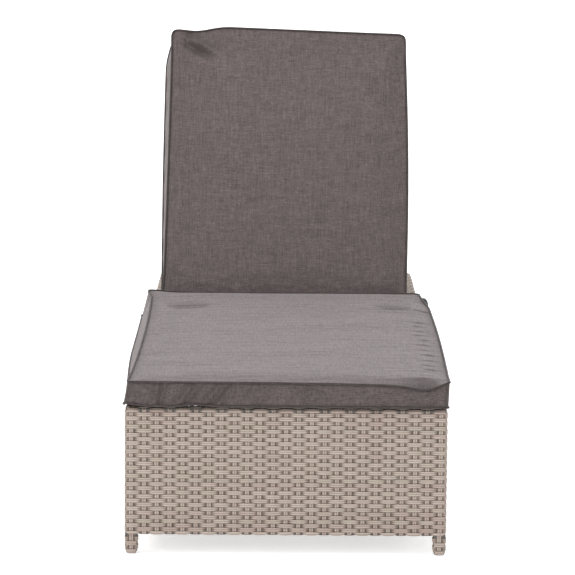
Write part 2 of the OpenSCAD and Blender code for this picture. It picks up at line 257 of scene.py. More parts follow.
def wicker_paint():
    """Flat extruded strand: two ribs with a groove, fine lengthwise lines, mixed beiges, with painted
    shade in the groove, at the strand's edges and low in the weave.
    """
    paint = Paint("wicker")
    place = paint.coordinates("Object")
    tint = paint.attribute("tint")
    across = paint.attribute("across")
    wander = paint.noise(place, 9.0, 2)
    shade = paint.math("ADD", paint.math("MULTIPLY", tint, 0.6), paint.math("SUBTRACT", wander, 0.3))
    colour = paint.ramp(shade, [
        (0.0, (0.32, 0.25, 0.218)), (0.28, (0.357, 0.293, 0.256)), (0.5, (0.39, 0.327, 0.286)),
        (0.72, (0.348, 0.301, 0.252)), (1.0, (0.422, 0.362, 0.325)),
    ])
    # painted shade: darker in the groove between a strand's two ribs, and darker still at its edges where
    # the rows meet
    groove = paint.math("ABSOLUTE", across)
    groove_shade = paint.ramp(groove, [(0.0, (0.6, 0.57, 0.55)), (0.3, (1, 1, 1)), (0.78, (1, 1, 1)),
                               (1.0, (0.4, 0.36, 0.34))])
    colour = paint.mix("MULTIPLY", 1.0, colour, groove_shade)
    # painted shade: the lower a point lies in the weave (the depth attribute), the darker it is, as in the
    # weave's recesses
    depth = paint.ramp(paint.attribute("depth"), [(0.0, (0.25, 0.195, 0.165)), (0.34, (0.56, 0.495, 0.45)),
                                                  (0.55, (0.86, 0.84, 0.83)), (0.8, (1, 1, 1))])
    colour = paint.mix("MULTIPLY", 1.0, colour, depth)
    speck = paint.noise(place, 420.0, 3, 0.6)
    flecks = paint.ramp(speck, [(0.3, (0.86, 0.85, 0.84)), (0.62, (1.05, 1.05, 1.05))])
    paint.drive("Base Color", paint.mix("MULTIPLY", 0.8, colour, flecks))
    paint.vary_roughness(speck, 0.25, 0.4)
    lines = paint.math("SINE", paint.math("MULTIPLY", across, 26.0))
    height = paint.math("ADD", paint.math("MULTIPLY", lines, 0.5), speck)
    paint.bump(height, 0.12 * MM, 0.5)
    paint.set("Specular IOR Level", 0.42)
    return paint.material


def fabric_paint(name, dark, light, sheen):
    """Plain-woven heather: short uneven slubs in both directions, thread by thread, with painted shade
    wherever the seam attribute is high.
    """
    paint = Paint(name)
    place = paint.coordinates("Object")
    shares = paint.node("ShaderNodeSeparateXYZ")
    paint.link(paint.coordinates("Normal"), shares.inputs[0])
    # noise cells to the metre across and along a thread; slubs are longer down a cushion
    thread_across, thread_along = 900.0, 130.0
    slub_across, slub_along = 380.0, (44.0, 24.0, 44.0)
    usual_slub = 0.49
    threads = None
    slubs = None
    for axis in range(3):
        facing = paint.math("SUBTRACT", 1.0, paint.math("ABSOLUTE", shares.outputs[axis]))
        fine = [thread_across] * 3
        fine[axis] = thread_along
        coarse = [slub_across] * 3
        coarse[axis] = slub_along[axis]
        thread = paint.math("MULTIPLY", paint.noise(paint.scaled(place, fine), 1.0, 1), facing)
        slub = paint.math("MULTIPLY", paint.noise(paint.scaled(place, coarse), 1.0, 2, 0.6), facing)
        threads = thread if threads is None else paint.math("ADD", threads, thread)
        slubs = slub if slubs is None else paint.math("ADD", slubs, slub)
    # two of the three directions face any one side, so the sums are halved
    threads = paint.math("MULTIPLY", threads, 0.5)
    slubs = paint.math("MULTIPLY", slubs, 0.5)
    streaks = paint.noise(paint.scaled(place, (9, 60, 60)), 1.0, 4, 0.6)
    cloud = paint.math("MULTIPLY", paint.math("SUBTRACT", streaks, 0.5), 0.16)
    shade = paint.math("ADD", slubs, cloud)
    middle = tuple((a + b) / 2 for a, b in zip(dark, light))
    colour = paint.ramp(shade, [(0.35, dark), (usual_slub, middle), (0.63, light)])
    yarn = paint.ramp(threads, [(0.34, (0.6, 0.6, 0.6)), (0.64, (1.3, 1.3, 1.3))])
    colour = paint.mix("MULTIPLY", 0.85, colour, yarn)
    # painted shade: darker beside each seam and in the dimples and creases, by the seam attribute
    seam = paint.ramp(paint.attribute("seam"), [(0.0, (1, 1, 1)), (1.0, (0.36, 0.34, 0.34))])
    paint.drive("Base Color", paint.mix("MULTIPLY", 1.0, colour, seam))
    paint.bump(paint.math("ADD", threads, slubs), 0.5 * MM, 0.6)
    paint.vary_roughness(slubs, 0.25, 0.7)
    uneven = paint.math("MULTIPLY", paint.math("SUBTRACT", slubs, usual_slub), 0.45)
    paint.drive("Sheen Weight", paint.math("ADD", uneven, sheen))
    paint.set("Sheen Roughness", 0.5)
    paint.set("Sheen Tint", (1, 0.93, 0.95, 1))
    paint.set("Specular IOR Level", 0.2)
    return paint.material


def webbing_paint():
    """Tight black ribbed webbing."""
    paint = Paint("webbing")
    place = paint.coordinates("Object")
    ribs = paint.node("ShaderNodeTexWave", bands_direction="Z")
    paint.link(place, ribs.inputs["Vector"])
    ribs.inputs["Scale"].default_value = 190
    ribs.inputs["Distortion"].default_value = 0.6
    paint.set("Specular IOR Level", 0.3)
    fluff = paint.noise(place, 900.0, 2)
    colour = paint.ramp(ribs.outputs["Fac"], [(0.0, (0.004, 0.004, 0.0045)), (1.0, (0.022, 0.022, 0.024))])
    paint.drive("Base Color", colour)
    paint.vary_roughness(fluff, 0.3, 0.3)
    paint.bump(paint.math("ADD", ribs.outputs["Fac"], fluff), 0.3 * MM, 0.6)
    return paint.material


def coated_steel_paint():
    """Matt powder coat with a fine orange-peel skin and paler rubbed patches."""
    paint = Paint("powder_coat")
    place = paint.coordinates("Object")
    peel = paint.noise(place, 650.0, 3, 0.55)
    patches = paint.noise(place, 18.0, 4, 0.6)
    colour = paint.ramp(patches, [(0.35, (0.060, 0.052, 0.046)), (0.6, (0.082, 0.073, 0.066)),
                                  (0.8, (0.115, 0.104, 0.095))])
    speckle = paint.ramp(peel, [(0.35, (0.8, 0.8, 0.8)), (0.65, (1.1, 1.1, 1.1))])
    paint.drive("Base Color", paint.mix("MULTIPLY", 0.7, colour, speckle))
    paint.vary_roughness(patches, 0.3, 0.35)
    paint.bump(peel, 0.15 * MM, 0.5)
    return paint.material


def plated_steel_paint():
    """Zinc plating: bright, with brushed streaks and dull blotches."""
    paint = Paint("zinc_plate")
    place = paint.coordinates("Object")
    streaks = paint.noise(paint.scaled(place, (60, 1400, 1400)), 1.0, 3)
    blotches = paint.noise(place, 160.0, 3)
    colour = paint.ramp(blotches, [(0.3, (0.42, 0.43, 0.44)), (0.7, (0.62, 0.62, 0.60))])
    paint.drive("Base Color", colour)
    paint.vary_roughness(streaks, 0.35, 0.2)
    paint.bump(streaks, 0.05 * MM, 0.5)
    paint.set("Metallic", 1.0)
    return paint.material


def moulded_paint(name, dark, light, roughness):
    """Moulded plastic with a fine spark-eroded grain."""
    paint = Paint(name)
    place = paint.coordinates("Object")
    grain = paint.noise(place, 1100.0, 3, 0.6)
    scuffs = paint.noise(paint.scaled(place, (300, 300, 90)), 1.0, 4, 0.65)
    paint.drive("Base Color", paint.ramp(scuffs, [(0.4, dark), (0.75, light)]))
    paint.vary_roughness(scuffs, 0.3, roughness - 0.15)
    paint.bump(grain, 0.08 * MM, 0.5)
    return paint.material


# ---------------------------------------------------------------- mesh building

def new_piece(name, points, face_groups, material, attributes=None):
    """A smooth mesh object from an array of points and arrays of equal-sided faces."""
    mesh = bpy.data.meshes.new(name)
    corners = np.concatenate([faces.ravel() for faces in face_groups]).astype(np.int32)
    sizes = np.concatenate([np.full(len(faces), faces.shape[1]) for faces in face_groups])
    starts = np.concatenate([[0], np.cumsum(sizes)[:-1]]).astype(np.int32)
    mesh.vertices.add(len(points))
    mesh.vertices.foreach_set("co", np.asarray(points, np.float32).ravel())
    mesh.loops.add(len(corners))
    mesh.loops.foreach_set("vertex_index", corners)
    mesh.polygons.add(len(starts))
    mesh.polygons.foreach_set("loop_start", starts)
    mesh.update(calc_edges=True)
    mesh.validate()
    mesh.shade_smooth()
    for key, values in (attributes or {}).items():
        mesh.attributes.new(key, "FLOAT", "POINT").data.foreach_set(
            "value", np.asarray(values, np.float32).ravel())
    mesh.materials.append(material)
    return new_object(name, mesh)


def signed_volume(points, quads):
    a, b, c, d = (points[quads[:, i]] for i in range(4))
    return float(np.einsum("ij,ij->", a, np.cross(b, c) + np.cross(c, d)))


def swept(name, rings, material, closed=False):
    """A skin over rings of points, joined into a loop or capped at both ends."""
    count, sides = rings.shape[:2]
    index = np.arange(count * sides).reshape(count, sides)
    here = index if closed else index[:-1]
    after = np.roll(index, -1, axis=0) if closed else index[1:]
    quads = np.stack([here, after, np.roll(after, -1, 1), np.roll(here, -1, 1)], -1).reshape(-1, 4)
    faces = [quads]
    if not closed:
        faces.append(np.stack([index[0, ::-1], index[-1]]))
    points = rings.reshape(-1, 3)
    if signed_volume(points, quads) < 0:
        faces = [group[:, ::-1] for group in faces]
    return new_piece(name, points, faces, material)


class Path:
    """A flat path of straight runs and round turns, read by its length.

    parts are ("line", length) or ("turn", radius, degrees), degrees to the left.
    side is +1 if the outside is on the left of the direction of travel, -1 if on its right.
    """

    STEP = 0.4 * MM

    def __init__(self, start, heading, parts, side=1):
        x, y = start
        angle = math.radians(heading)
        rows = [(0.0, x, y, angle)]
        length = 0.0
        for part in parts:
            if part[0] == "line":
                turn, run = 0.0, part[1]
                count = 2
            else:
                turn = math.radians(part[2])
                run = abs(turn) * part[1]
                count = max(4, int(run / self.STEP))
            for _ in range(count):
                angle += turn / count / 2
                x += run / count * math.cos(angle)
                y += run / count * math.sin(angle)
                angle += turn / count / 2
                length += run / count
                rows.append((length, x, y, angle))
        self.table = np.array(rows).T
        self.length = length
        self.side = side

    def at(self, lengths):
        """Points and outward normals at those lengths: x, y, normal x, normal y."""
        run, xs, ys, angles = self.table
        x = np.interp(lengths, run, xs)
        y = np.interp(lengths, run, ys)
        normal = np.interp(lengths, run, angles) + self.side * math.pi / 2
        return x, y, np.cos(normal), np.sin(normal)


# ---------------------------------------------------------------- wicker

STRAND_W = 8.2 * MM     # a strand wrapped round the backrest's top tube
WEAVER_W = 9.4 * MM     # wider than a row, so that no light shows between two rows
STAKE_W = STRAND_W * 1.2
STRAND_T = 1.4 * MM
ROW = 8.4 * MM          # from one weaver to the next
OVER = 1.7 * MM         # how far a weaver swings to each side of the weave's middle
UNDER = 0.35 * MM       # how far a stake does
# A strand's section, across in half widths and up in thicknesses: two ribs with a groove
# between them and a flat back, or for the hidden deck a plain diamond
RIBBED = np.array([(-1, -0.15), (-0.58, 0.5), (0, 0.08), (0.58, 0.5), (1, -0.15), (0.7, -0.5),
                   (-0.7, -0.5)])
FLAT = np.array([(-1, 0.2), (0, 0.5), (1, 0.2), (0, -0.5)])


class Strands:
    """Collects swept strands and turns them into one piece."""

    def __init__(self):
        self.points, self.quads, self.caps = [], [], []
        self.tint, self.across, self.depth = [], [], []
        self.count = 0

    def add(self, grid, section, height, closed=False, tints=None):
        """grid holds points by strand, station and section corner, and height how far
        each stands off the weave's middle. tints holds one number from 0 to 1 a strand."""
        strands, stations, corners, _ = grid.shape
        index = self.count + np.arange(strands * stations * corners).reshape(strands, stations, corners)
        here = index if closed else index[:, :-1]
        after = np.roll(index, -1, axis=1) if closed else index[:, 1:]
        quads = np.stack([here, after, np.roll(after, -1, axis=2), np.roll(here, -1, axis=2)], -1)
        points = grid.reshape(-1, 3)
        quads = quads.reshape(-1, 4)
        flip = signed_volume(points, quads - self.count) < 0
        self.quads.append(quads[:, ::-1] if flip else quads)
        if not closed:
            first, last = index[:, 0, ::-1], index[:, -1]
            caps = np.concatenate([first, last])
            self.caps.append(caps[:, ::-1] if flip else caps)
        self.points.append(points)
        if tints is None:
            tints = RANDOM.random(strands)
        self.tint.append(np.repeat(tints, stations * corners))
        self.across.append(np.tile(section[:, 0], strands * stations))
        # depth: how high each point stands in the weave, which the wicker material turns into painted
        # shade
        self.depth.append(np.clip(0.5 + height / OVER / 2.6, 0, 1).ravel())
        self.count += len(points)

    def piece(self, name, material, body, nodes):
        groups = [np.concatenate(self.quads)]
        for corners in sorted({caps.shape[1] for caps in self.caps}):
            groups.append(np.concatenate([caps for caps in self.caps if caps.shape[1] == corners]))
        piece = new_piece(name, np.concatenate(self.points), groups, material,
                          {"tint": np.concatenate(self.tint), "across": np.concatenate(self.across),
                           "depth": np.concatenate(self.depth)})
        attach(piece, body, "wicker", *nodes)
        return piece


def swing(turns):
    """Goes from 1 to -1 and back in two turns, with long flat tops and short dips."""
    return np.tanh(1.6 * (np.cos(math.pi * turns) + 0.12)) / math.tanh(1.6)


def wobble(strands, along, size):
    """A slow sideways drift for each strand, at places along it."""
    out = np.zeros(np.broadcast_shapes((strands, 1), along.shape))
    for wave in (0.31, 0.11):
        start = RANDOM.random((strands, 1)) * math.tau
        strength = RANDOM.normal(0, size, (strands, 1))
        out += strength * np.sin(along / wave * math.tau + start)
    return out


def lay_weavers(strands, place, rows, along, turns, section=RIBBED, over=OVER, tints=None):
    """Strands across the stakes. along and turns are by row and station."""
    drift = wobble(len(rows), along, 0.22 * MM)
    lift = over * RANDOM.uniform(0.85, 1.15, (len(rows), 1)) * swing(turns)
    pinch = 1 - 0.04 * (1 - lift / over) / 2
    t = (rows[:, None] + drift)[..., None] + section[:, 0] * (WEAVER_W / 2 * pinch)[..., None]
    h = lift[..., None] + section[:, 1] * STRAND_T
    a = np.broadcast_to(along[..., None], t.shape)
    strands.add(place(a, t, h), section, h, tints=tints)


def lay_stakes(strands, place, columns, along, turns, section=RIBBED):
    """Strands along the rows' direction of stacking, on the other side of every weaver."""
    along = np.broadcast_to(along, turns.shape)
    lift = UNDER * swing(turns)
    drift = wobble(len(columns), along, 0.25 * MM)
    a = (columns[:, None] + drift)[..., None] + section[:, 0] * STAKE_W / 2
    h = lift[..., None] + section[:, 1] * STRAND_T
    t = np.broadcast_to(along[..., None], a.shape)
    strands.add(place(a, t, h), section, h)


FOOT_LOW, FOOT_HIGH = corners_of("woven_foot_end")
HALF_W = FOOT_HIGH[0]
HALF_L = corners_of("woven_head_end")[1][1]
SKIRT_LOW, SKIRT_HIGH = FOOT_LOW[2], FOOT_HIGH[2]
WRAPPED = FOOT_HIGH[1] - FOOT_LOW[1]
WEAVE_IN = 2.0 * MM     # from the CAD wall's face to the middle of the weave
CORNER_R = 6.5 * MM     # rounding of the base's upright corners
LEG_IN = WRAPPED / 2    # from a wall's face to the middle of its corner leg

# The weave's middle, as a path from under the lower rail, up the wall, over the top rail
# and down its inner face. x is the distance in from the wall's face, y is the height.
UNDER_R, TOP_R, LIP_R = 3 * MM, 7 * MM, 3 * MM
UNDER_RUN = WRAPPED - 5 * MM - WEAVE_IN - UNDER_R
WALL_RUN = SKIRT_HIGH - SKIRT_LOW - 2 * WEAVE_IN - UNDER_R - TOP_R
TOP_RUN = WRAPPED - 2 * WEAVE_IN - TOP_R - LIP_R
LIP_RUN = 21 * MM
SKIRT = Path((WEAVE_IN + UNDER_R + UNDER_RUN, SKIRT_LOW + WEAVE_IN), 180, [
    ("line", UNDER_RUN), ("turn", UNDER_R, -90), ("line", WALL_RUN), ("turn", TOP_R, -90),
    ("line", TOP_RUN), ("turn", LIP_R, -90), ("line", LIP_RUN),
])


class Wall:
    """One side of the base's skirt. place() turns a distance along it, a length along
    the skirt's path and a height off the weave into a point."""

    def __init__(self, centre, along, half_l, stakes_from_middle, parity):
        self.centre = np.array(centre, float)
        self.along = np.array(along, float)
        self.inward = np.array((-along[1], along[0], 0), float)
        self.half_l = half_l
        self.pitch = (half_l - LEG_IN) / stakes_from_middle
        self.count = stakes_from_middle
        self.parity = parity

    def reach(self, inset):
        radius = np.maximum(CORNER_R - inset, 0)
        return self.half_l - inset - radius + math.pi / 4 * radius

    def place(self, a, t, h):
        u, z, normal_u, normal_z = SKIRT.at(t)
        u = u + normal_u * h
        z = z + normal_z * h
        radius = np.maximum(CORNER_R - u, 0)
        straight = self.half_l - u - radius
        far = np.clip(np.abs(a) - straight, 0, math.pi / 4 * radius)
        turn = far / np.maximum(radius, 1e-9)
        side = np.sign(a)
        a = side * (np.minimum(np.abs(a), straight) + radius * np.sin(turn))
        u = u + radius * (1 - np.cos(turn))
        spot = self.centre + a[..., None] * self.along + u[..., None] * self.inward
        spot[..., 2] += z
        return spot


WALLS = {
    "foot_end": Wall((0, -HALF_L, 0), (1, 0, 0), HALF_W, 12, 0),
    "side_right": Wall((HALF_W, 0, 0), (0, 1, 0), HALF_L, 38, 1),
    "head_end": Wall((0, HALF_L, 0), (-1, 0, 0), HALF_W, 12, 0),
    "side_left": Wall((-HALF_W, 0, 0), (0, -1, 0), HALF_L, 38, 1),
}
ROWS = np.arange(int(SKIRT.length / ROW))
ROW_PLACES = (ROWS + 0.5) * ROW
ROW_TINTS = RANDOM.random(len(ROWS))    # each weaver runs round all four walls


def weave_wall(name, wall, material, steps):
    """steps is the number of stations between two stakes."""
    inset, _, _, _ = SKIRT.at(ROW_PLACES)
    reach = wall.reach(inset)
    stations = np.linspace(-1, 1, 2 * wall.count * steps + steps + 1)
    along = reach[:, None] * stations
    turns = along / wall.pitch
    # the last stake is on the corner leg, and the next wall's first is one turn on from it
    past_leg = np.clip(np.abs(turns) - wall.count, 0, None)
    to_mitre = reach[:, None] / wall.pitch - wall.count
    turns = np.sign(turns) * (np.abs(turns) - past_leg + 0.5 * past_leg / to_mitre)
    turns = turns + ROWS[:, None] + wall.parity
    # place() cuts every corner of a strand's section off at the mitre
    past_the_mitre = 8 * MM
    along[:, 0] -= past_the_mitre
    along[:, -1] += past_the_mitre
    weavers = Strands()
    lay_weavers(weavers, wall.place, ROW_PLACES, along, turns, tints=ROW_TINTS)
    weavers.piece(f"wicker_{name}_weavers", material, "base", [f"woven_{name}"])

    stakes = Strands()
    numbers = np.arange(-wall.count, wall.count + 1)
    columns = numbers * wall.pitch + RANDOM.normal(0, 0.5 * MM, len(numbers))
    on_leg = np.abs(numbers) == wall.count
    wall_start = UNDER_RUN + UNDER_R
    wall_end = UNDER_RUN + math.pi / 2 * (UNDER_R + TOP_R) + WALL_RUN
    for chosen, start, end in ((~on_leg, 1 * MM, SKIRT.length - 1 * MM), (on_leg, wall_start, wall_end)):
        t = np.linspace(start, end, int((end - start) / ROW * 3))
        turns = 1 + (t / ROW - 0.5) + numbers[chosen][:, None] + wall.parity
        lay_stakes(stakes, wall.place, columns[chosen], t, turns)
    stakes.piece(f"wicker_{name}_stakes", material, "base", [])


def weave_leg(end, side, material):
    """The strands round a leg below the skirt: rings, and a stake down each face."""
    low, high = corners_of(f"leg_wrap_{end}_{side}")
    centre = (low + high) / 2
    half = (high[0] - low[0]) / 2 - WEAVE_IN
    round_r = 5 * MM
    foot = 1.5 * MM
    quarter = [("line", half - round_r), ("turn", round_r, 90), ("line", half - round_r)]
    ring = Path((0, -half), 0, quarter * 4, side=-1)
    height = high[2] - foot + 3 * MM

    def place(a, t, h):
        x, y, normal_x, normal_y = ring.at(np.mod(a, ring.length))
        drawn_in = 1 - 0.03 * (1 - t / height) - 0.26 * np.clip(1 - t / (8 * MM), 0, 1) ** 2
        return np.stack([centre[0] + (x + normal_x * h) * drawn_in,
                         centre[1] + (y + normal_y * h) * drawn_in, foot + t], -1)

    strands = Strands()
    rows = (np.arange(int(height / ROW)) + 0.5) * ROW
    steps = 40
    stations = np.arange(steps) / steps
    along = np.tile(stations * ring.length, (len(rows), 1))
    turns = stations * 4 + np.arange(len(rows))[:, None]
    lift = OVER * swing(turns)
    t = rows[:, None, None] + RIBBED[:, 0] * WEAVER_W / 2 + np.zeros((1, steps, 1))
    h = lift[..., None] + RIBBED[:, 1] * STRAND_T
    strands.add(place(np.broadcast_to(along[..., None], t.shape), t, h), RIBBED, h, closed=True)
    t = np.linspace(1 * MM, height, 16)
    numbers = np.arange(4)
    lay_stakes(strands, place, numbers * ring.length / 4, t, 1 + (t / ROW - 0.5) + numbers[:, None])
    strands.piece(f"wicker_leg_{end}_{side}", material, "base", [f"leg_wrap_{end}_{side}"])


def make_glide(end, side, material):
    """A moulded glide with rounded edges, pushed into the foot of the leg."""
    node = f"glide_{end}_{side}"
    low, high = corners_of(node)
    centre = (low + high) / 2
    half = 10.5 * MM
    # (share of the half width, height) up the outside, from the middle of the sole
    outline = [(0.3, 0.3 * MM), (0.7, 0), (0.86, 0.6 * MM), (0.96, 2 * MM), (1, 4 * MM),
               (1, high[2] - 1 * MM), (0.9, high[2])]
    steps = 32
    angles = np.arange(steps) / steps * math.tau
    square = np.stack([np.sign(f(angles)) * np.abs(f(angles)) ** 0.45 for f in (np.cos, np.sin)], -1)
    rings = []
    for share, z in outline:
        rings.append(np.column_stack([centre[:2] + square * half * share, np.full(steps, z)]))
    glide = swept(f"foot_{node}", np.array(rings), material)
    attach(glide, "base", "glide_plastic", node)


def weave_deck(material):
    """The seat deck, hidden under the cushion and seen only from below."""
    low, high = corners_of("seat_deck")
    middle_z = (low[2] + high[2]) / 2

    def place(a, t, h):
        return np.stack([a, low[1] + t, middle_z - h], -1)

    strands = Strands()
    rows = np.arange(int((high[1] - low[1]) / ROW))
    stake_count = 25
    pitch = (high[0] - low[0]) / stake_count
    stations = np.linspace(low[0], high[0], stake_count * 3 + 1)
    along = np.tile(stations, (len(rows), 1))
    turns = along / pitch + rows[:, None]
    lay_weavers(strands, place, (rows + 0.5) * ROW, along, turns, FLAT, over=0.9 * MM)
    numbers = np.arange(stake_count) - stake_count // 2
    t = np.linspace(1 * MM, high[1] - low[1] - 1 * MM, len(rows) * 2)
    lay_stakes(strands, place, numbers * pitch, t, 1 + (t / ROW - 0.5) + numbers[:, None], FLAT)
    strands.piece("wicker_seat_deck", material, "base", ["seat_deck"])


# ---------------------------------------------------------------- the backrest's own frame

JOINTS = {joint["name"]: joint for joint in frame["record"]["behaviour"]["joints"]}
HINGE = Vector(JOINTS["backrest_hinge"]["pos_m"])
PROP_PIVOT = Vector(JOINTS["prop_pivot"]["pos_m"])
BACK_ANGLE = math.atan2(PROP_PIVOT.z - HINGE.z, PROP_PIVOT.y - HINGE.y)
BACK = Matrix.Translation(HINGE) @ Matrix.Rotation(BACK_ANGLE, 4, "X")


def local_box(node):
    """Lowest and highest corners of a backrest part, lying flat with the hinge as origin."""
    mesh = frame["nodes"][node].data
    points = np.empty(len(mesh.vertices) * 3)
    mesh.vertices.foreach_get("co", points)
    world = frame["nodes"][node].matrix_world
    to_local = np.array(BACK.inverted() @ world)
    points = points.reshape(-1, 3) @ to_local[:3, :3].T + to_local[:3, 3]
    return points.min(0), points.max(0)


def weave_back(material):
    """Weavers that wrap both side tubes, stakes down the panel, and a wrapped top tube."""
    low, _ = local_box("woven_back")
    tube_low, tube_high = local_box("back_side_tube_right")
    top_low, top_high = local_box("back_top_tube")
    half_tube = (tube_high[0] - tube_low[0]) / 2
    off = 1.1 * MM
    turn_r = 5 * MM
    side_run = 2 * (half_tube + off - turn_r)
    inner_run = side_run - 2 * MM
    top_run = 2 * (tube_high[0] + off - turn_r)
    # round one side tube, over the front of the panel and round the other side tube
    parts = [("line", inner_run)]
    for run in (side_run, side_run, top_run, side_run, side_run, inner_run):
        parts += [("turn", turn_r, -90), ("line", run)]
    path = Path((-(tube_low[0] - off), half_tube + off - turn_r - 2 * MM), -90, parts)
    across_middle = path.length / 2

    def place(a, t, h):
        x, n, normal_x, normal_n = path.at(a + across_middle)
        return np.stack([x + normal_x * h, low[1] + t, n + normal_n * h], -1)

    over = 1.2 * MM
    half_stakes = 11
    open_half = tube_low[0]
    pitch = open_half / half_stakes
    panel = top_low[1] - low[1]
    rows = np.arange(int(panel / ROW))
    front = np.linspace(-open_half, open_half, half_stakes * 8 + 1)
    wrap = np.linspace(open_half, across_middle, 30)[1:]
    stations = np.concatenate([-wrap[::-1], front, wrap])
    along = np.tile(stations, (len(rows), 1))
    inside = np.clip((open_half - np.abs(stations)) / (6 * MM), 0, 1)
    lift = over * swing(along / pitch + rows[:, None]) * inside
    section_t = RIBBED[:, 0] * WEAVER_W / 2
    t = ((rows + 0.5) * ROW)[:, None, None] + section_t + np.zeros((1, len(stations), 1))
    h = lift[..., None] + RIBBED[:, 1] * STRAND_T
    # the heights the painted shade reads: as high as a weaver goes wherever it is not fully in the open
    # panel, elsewhere its swing scaled up to the base's
    shown = np.where(inside[None, :, None] < 1, OVER, h * OVER / over)
    weavers = Strands()
    weavers.add(place(np.broadcast_to(along[..., None], t.shape), t, h), RIBBED, shown)
    weavers.piece("wicker_back_weavers", material, "backrest", ["woven_back"]).matrix_world = BACK

    stakes = Strands()
    numbers = np.arange(-half_stakes + 1, half_stakes)
    t = np.linspace(1 * MM, panel - 1 * MM, len(rows) * 3)
    lay_stakes(stakes, place, numbers * pitch, t, 1 + (t / ROW - 0.5) + numbers[:, None])
    stakes.piece("wicker_back_stakes", material, "backrest", []).matrix_world = BACK

    radius = (top_high[1] - top_low[1]) / 2 + off
    centre_s, centre_n = (top_low[1] + top_high[1]) / 2, (top_low[2] + top_high[2]) / 2
    steps = 20
    angles = np.arange(steps) / steps * math.tau
    half_x = tube_high[0] - STRAND_W / 2
    turns_x = np.linspace(-half_x, half_x, int(2 * half_x / (STRAND_W + 0.2 * MM)))
    x = turns_x[:, None, None] + RIBBED[:, 0] * STRAND_W / 2 + np.zeros((1, steps, 1))
    h = RIBBED[:, 1] * STRAND_T * 0.8 + np.zeros(x.shape)
    reach = radius + h
    ring = np.stack([x, centre_s + reach * np.cos(angles)[:, None],
                     centre_n + reach * np.sin(angles)[:, None]], -1)
    wraps = Strands()
    # the top wrap gets no painted shade: every point reads as standing high
    wraps.add(ring, RIBBED, np.full(x.shape, OVER), closed=True)
    wraps.piece("wicker_back_top_wrap", material, "backrest", []).matrix_world = BACK


# ---------------------------------------------------------------- cushions

class Cushion:
    """A box cushion on a grid: a top panel, a boxing band and a bottom panel, all welded.
    Its own axes are x across, y along and z up out of the top panel."""

    def __init__(self, name, width, length, thick, corner_r, spacing, bands=6):
        self.name = name
        self.size = (width, length, thick)
        xs = self.graded(width / 2, int(width / spacing))
        ys = self.graded(length / 2, int(length / spacing))
        gx, gy = np.meshgrid(xs, ys, indexing="ij")
        gx, gy = self.round_corners(gx, gy, width / 2, length / 2, corner_r)
        nx, ny = gx.shape
        top = np.arange(nx * ny).reshape(nx, ny)
        edge = np.concatenate([top[:, 0], top[-1, 1:], top[-2::-1, -1], top[0, -2:0:-1]])
        flat = np.stack([gx.ravel(), gy.ravel()], -1)
        points = [np.column_stack([flat, np.full(len(flat), thick / 2)])]
        rings = [edge]
        count = len(flat)
        for k in range(1, bands):
            z = thick / 2 - thick * k / bands
            points.append(np.column_stack([flat[edge], np.full(len(edge), z)]))
            rings.append(count + np.arange(len(edge)))
            count += len(edge)
        points.append(np.column_stack([flat, np.full(len(flat), -thick / 2)]))
        bottom = count + top
        rings.append(count + edge)
        quads = [np.stack([top[:-1, :-1], top[1:, :-1], top[1:, 1:], top[:-1, 1:]], -1).reshape(-1, 4)]
        for upper, lower in zip(rings, rings[1:]):
            quads.append(np.stack([upper, lower, np.roll(lower, -1), np.roll(upper, -1)], -1))
        quads.append(np.stack([bottom[:-1, :-1], bottom[:-1, 1:], bottom[1:, 1:], bottom[1:, :-1]],
                              -1).reshape(-1, 4))
        self.points = np.concatenate(points)
        self.quads = np.concatenate(quads)
        self.top_seam, self.bottom_seam = rings[0], rings[-1]

    @staticmethod
    def graded(half, count):
        """Even steps, drawn closer together towards both ends."""
        u = np.linspace(-1, 1, count + 1)
        return half * (0.55 * u + 0.45 * np.sin(u * math.pi / 2))

    @staticmethod
    def round_corners(gx, gy, half_x, half_y, radius):
        dx = np.maximum(np.abs(gx) - (half_x - radius), 0)
        dy = np.maximum(np.abs(gy) - (half_y - radius), 0)
        far = np.hypot(dx, dy)
        shrink = np.where(far > 0, np.maximum(dx, dy) / np.maximum(far, 1e-9), 1)
        gx = np.sign(gx) * (np.minimum(np.abs(gx), half_x - radius) + dx * shrink)
        gy = np.sign(gy) * (np.minimum(np.abs(gy), half_y - radius) + dy * shrink)
        return gx, gy

    def object(self, material):
        return new_piece(self.name, self.points, [self.quads], material)


CLOTH_FRAMES = 20
CLOTH_PRESSURE = 4.0
SEAM_GATHER = 0.03      # how much the seams draw in


def add_cloth(piece, cushion):
    """Cloth that the pressure blows up, with seams that draw in and pucker."""
    group = piece.vertex_groups.new(name="seams")
    seams = np.concatenate([cushion.top_seam, cushion.bottom_seam])
    group.add([int(i) for i in seams], 1.0, "REPLACE")
    cloth = piece.modifiers.new("cloth", "CLOTH")
    cloth.point_cache.frame_start = 1
    cloth.point_cache.frame_end = CLOTH_FRAMES
    settings = cloth.settings
    settings.quality = 5
    settings.mass = 0.3
    settings.tension_stiffness = 15
    settings.compression_stiffness = 15
    settings.shear_stiffness = 6
    settings.bending_stiffness = 0.4
    settings.use_pressure = True
    settings.uniform_pressure_force = CLOTH_PRESSURE
    settings.vertex_group_shrink = "seams"
    settings.shrink_max = SEAM_GATHER
    settings.effector_weights.gravity = 0
    cloth.collision_settings.use_collision = False


def simulated_points(pieces):
    scene = bpy.context.scene
    scene.frame_start, scene.frame_end = 1, CLOTH_FRAMES
    for number in range(1, CLOTH_FRAMES + 1):
        scene.frame_set(number)
    graph = bpy.context.evaluated_depsgraph_get()
    found = []
    for piece in pieces:
        mesh = piece.evaluated_get(graph).data
        points = np.empty(len(mesh.vertices) * 3)
        mesh.vertices.foreach_get("co", points)
        found.append(points.reshape(-1, 3))
    for piece in pieces:
        piece.modifiers.clear()
    scene.frame_set(1)
    return found


